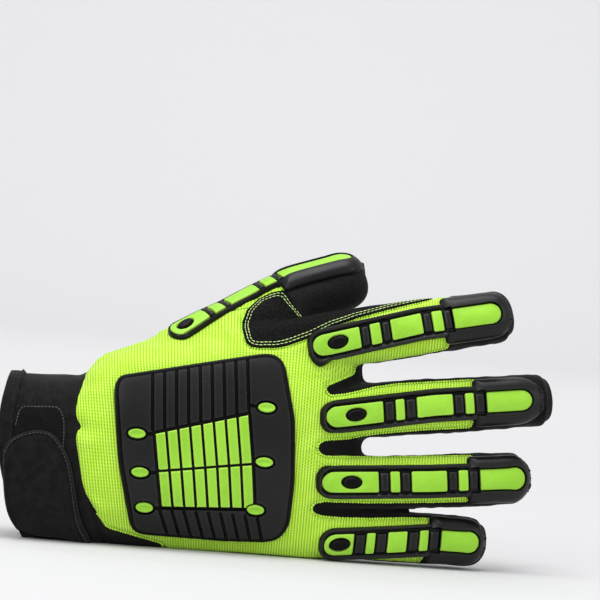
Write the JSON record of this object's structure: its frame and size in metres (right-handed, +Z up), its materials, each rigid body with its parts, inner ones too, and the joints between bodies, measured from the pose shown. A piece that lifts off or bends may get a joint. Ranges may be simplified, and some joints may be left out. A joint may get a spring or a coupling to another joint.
{
  "type": "impact work glove",
  "caption": "Right-hand impact work glove standing on its little-finger edge: knit back, synthetic leather palm, rubber back plate and finger guards, strapped wrist cuff.",
  "frame": {"origin": "middle of the bounding box on the floor that the glove stands on", "axes": "+X from the wrist to the fingertips, +Y from the back of the hand to the palm, +Z up from the little finger to the thumb"},
  "size_m": [0.2686, 0.0874, 0.15],
  "materials": {
    "lime_knit": "ribbed fluorescent knit",
    "black_leather": "fine-grained synthetic leather",
    "black_stretch": "matt stretch fabric",
    "black_neoprene": "fabric-faced foam",
    "black_rubber": "satin moulded rubber",
    "lime_rubber": "satin moulded rubber"
  },
  "bodies": {
    "root": {"back_knit": "lime_knit", "web_patch": "black_leather", "gusset_index_middle": "black_stretch", "gusset_middle_ring": "black_stretch", "gusset_ring_little": "black_stretch", "leather_index": "black_leather", "leather_middle": "black_leather", "leather_ring": "black_leather", "leather_little": "black_leather", "palm_leather": "black_leather", "thumb_knit": "lime_knit", "thumb_leather": "black_leather", "cuff": "black_neoprene", "wrist_strap": "black_neoprene", "cuff_hem": "black_stretch", "loop_patch": "black_stretch", "back_plate": "black_rubber", "grille_inlay": "lime_rubber", "plate_oval_1": "lime_rubber", "plate_oval_2": "lime_rubber", "plate_oval_3": "lime_rubber", "plate_oval_4": "lime_rubber", "plate_oval_5": "lime_rubber", "plate_oval_6": "lime_rubber", "guard_index": "black_rubber", "pad_index_oval": "lime_rubber", "pad_index_short_1": "lime_rubber", "pad_index_long": "lime_rubber", "pad_index_short_2": "lime_rubber", "pad_index_cap": "lime_rubber", "guard_middle": "black_rubber", "pad_middle_oval": "lime_rubber", "pad_middle_short_1": "lime_rubber", "pad_middle_long": "lime_rubber", "pad_middle_short_2": "lime_rubber", "pad_middle_cap": "lime_rubber", "guard_ring": "black_rubber", "pad_ring_oval": "lime_rubber", "pad_ring_short_1": "lime_rubber", "pad_ring_long": "lime_rubber", "pad_ring_short_2": "lime_rubber", "pad_ring_cap": "lime_rubber", "guard_little": "black_rubber", "pad_little_oval": "lime_rubber", "pad_little_short_1": "lime_rubber", "pad_little_long": "lime_rubber", "pad_little_short_2": "lime_rubber", "pad_little_cap": "lime_rubber", "guard_thumb": "black_rubber", "pad_thumb_oval": "lime_rubber", "pad_thumb_short_1": "lime_rubber", "pad_thumb_long": "lime_rubber", "pad_thumb_short_2": "lime_rubber", "pad_thumb_cap": "lime_rubber"}
  },
  "joints": []
}
